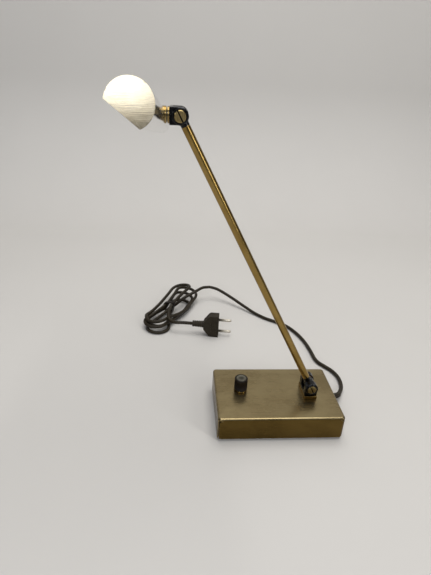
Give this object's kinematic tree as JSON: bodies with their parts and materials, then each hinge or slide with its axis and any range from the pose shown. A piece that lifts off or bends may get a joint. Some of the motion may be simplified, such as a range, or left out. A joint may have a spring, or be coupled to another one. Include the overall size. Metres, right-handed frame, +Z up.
{
  "type": "architect desk lamp",
  "caption": "Desk lamp with a folded brass base, a dimmer knob, a slim leaning arm between friction joints, and a long trough shade that swivels on its neck.",
  "frame": {"origin": "centre of the base's footprint on the surface that the lamp stands on", "axes": "+X along the base's long side from the knob to the arm's foot, +Y away from the knob side's front edge along the arm's pivot axes, +Z up"},
  "size_m": [0.2717, 0.4578, 0.3554],
  "materials": {
    "brushed_brass": "satin brushed antique brass",
    "polished_brass": "polished aged brass",
    "black_metal": "glossy near-black",
    "gunmetal": "dark polished",
    "black_plastic": "near-black, knurled",
    "dark_rubber": "dark brown, semi-matt",
    "felt": "matt black foam pad",
    "steel": "bright zinc-plated",
    "cast_iron": "raw casting",
    "mirror_metal": "mirror polished",
    "opal": "opal, satin",
    "circuit_board": "white solder mask",
    "aluminium": "raw extrusion",
    "fibre": "pressed fibre"
  },
  "bodies": {
    "base": {"base_cover": "brushed_brass", "base_pad": "felt", "base_plate": "steel", "plate_screw_1": "steel", "plate_screw_2": "steel", "plate_screw_3": "steel", "plate_screw_4": "steel", "ballast_weight": "cast_iron", "ballast_screw_1": "steel", "ballast_screw_2": "steel", "led_driver": "black_plastic", "dimmer_body": "steel", "dimmer_washer": "steel", "dimmer_nut": "steel", "foot_plate": "polished_brass", "foot_nipple": "steel", "nipple_washer": "steel", "nipple_nut": "steel", "strain_relief": "dark_rubber", "lower_fork": "black_metal", "lower_pivot_screw": "polished_brass", "lower_bevel_ring": "gunmetal", "lower_pivot_nut": "polished_brass", "lower_friction_washer_front": "fibre", "lower_friction_washer_rear": "fibre", "cord_to_hank": "dark_rubber", "cord_hank": "dark_rubber", "hank_tie": "black_plastic", "cord_to_plug": "dark_rubber", "plug_body": "dark_rubber", "plug_pin_1": "steel", "plug_pin_2": "steel"},
    "knob": {"dimmer_shaft": "steel", "dimmer_knob": "black_plastic", "knob_ring": "polished_brass"},
    "arm": {"lower_eye": "black_metal", "arm_tube": "polished_brass", "arm_wire": "dark_rubber", "upper_eye": "black_metal"},
    "head": {"upper_fork": "black_metal", "upper_pivot_screw": "polished_brass", "upper_bevel_ring": "gunmetal", "upper_pivot_nut": "polished_brass", "upper_friction_washer_front": "fibre", "upper_friction_washer_rear": "fibre", "neck_collar": "polished_brass", "neck_washer": "black_plastic", "neck_screw": "steel", "neck_nut": "steel"},
    "light": {"shade": "mirror_metal", "shade_saddle": "polished_brass", "end_cap_front": "brushed_brass", "end_cap_rear": "brushed_brass", "diffuser": "opal", "led_carrier": "aluminium", "led_board": "circuit_board"}
  },
  "joints": [
    {"name": "dimmer_turn", "type": "hinge", "parent": "base", "child": "knob", "pos_m": [-0.0403, 0.005, 0.0306], "axis": [0, 0, 1], "range_deg": [-135, 135]},
    {"name": "arm_tilt", "type": "hinge", "parent": "base", "child": "arm", "pos_m": [0.0382, 0, 0.0439], "axis": [0, 1, 0], "range_deg": [-48, 90]},
    {"name": "head_tilt", "type": "hinge", "parent": "arm", "child": "head", "pos_m": [-0.11398, 0, 0.32653], "axis": [0, 1, 0], "range_deg": [-25, 75]},
    {"name": "shade_swivel", "type": "hinge", "parent": "head", "child": "light", "pos_m": [-0.11398, 0, 0.32653], "axis": [1, 0, 0], "range_deg": [-83, 97]}
  ]
}
